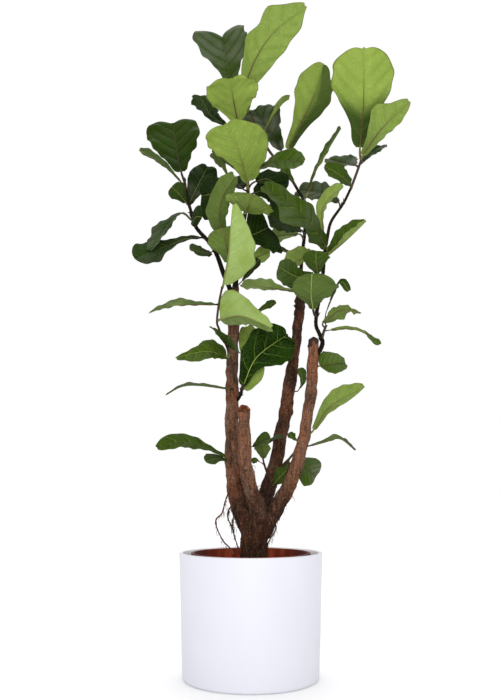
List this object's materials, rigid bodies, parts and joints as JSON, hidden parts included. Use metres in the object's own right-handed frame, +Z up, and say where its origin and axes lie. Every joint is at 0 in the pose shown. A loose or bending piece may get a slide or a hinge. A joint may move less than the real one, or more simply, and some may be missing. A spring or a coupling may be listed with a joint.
{
  "type": "potted fiddle leaf fig",
  "caption": "Four-stemmed fiddle leaf fig with large waved leaves, standing in a nursery pot inside a smooth round white planter",
  "frame": {"origin": "centre of the planter's flat underside, on the surface that it stands on", "axes": "+Z up, +X to the right and +Y away from a viewer who faces the plant as pictured"},
  "size_m": [0.7323, 0.4434, 1.7678],
  "materials": {
    "planter": "smooth satin white",
    "nursery_pot": "red-brown moulded plastic",
    "soil": "crumbly dark potting mix",
    "bark": "rough fissured bark",
    "leaf": "waxy upper face, matt light underside"
  },
  "bodies": {
    "root": {"back_spray": "leaf", "branch_tip": "leaf", "hanging_spray": "leaf", "leaf_04": "leaf", "leaf_13": "leaf", "leaf_14": "leaf", "leaf_15": "leaf", "leaf_16": "leaf", "leaf_17": "leaf", "leaf_18": "leaf", "leaf_19": "leaf", "leaf_20": "leaf", "leaf_21": "leaf", "leaf_22": "leaf", "leaf_23": "leaf", "leaf_24": "leaf", "leaf_25": "leaf", "leaf_32": "leaf", "leaf_33": "leaf", "leaf_34": "leaf", "leaf_35": "leaf", "leaf_36": "leaf", "leaf_37": "leaf", "leaf_38": "leaf", "leaf_40": "leaf", "leaf_41": "leaf", "leaf_42": "leaf", "leaf_43": "leaf", "leaf_45": "leaf", "leaf_46": "leaf", "leaf_47": "leaf", "leaf_48": "leaf", "leaf_49": "leaf", "leaf_50": "leaf", "leaf_51": "leaf", "leaf_52": "leaf", "leaf_53": "leaf", "leaf_54": "leaf", "leaf_56": "leaf", "leaf_57": "leaf", "leaf_61": "leaf", "leaf_62": "leaf", "leaf_63": "leaf", "leaf_64": "leaf", "leaf_73": "leaf", "leaf_74": "leaf", "leaf_75": "leaf", "leaf_77": "leaf", "leaf_78": "leaf", "leaf_79": "leaf", "leaf_83": "leaf", "left_tip": "leaf", "low_spray": "leaf", "middle_tip": "leaf", "nursery_pot": "nursery_pot", "planter": "planter", "right_spray": "leaf", "right_tip": "leaf", "soil": "soil", "wood": "bark"}
  },
  "joints": []
}
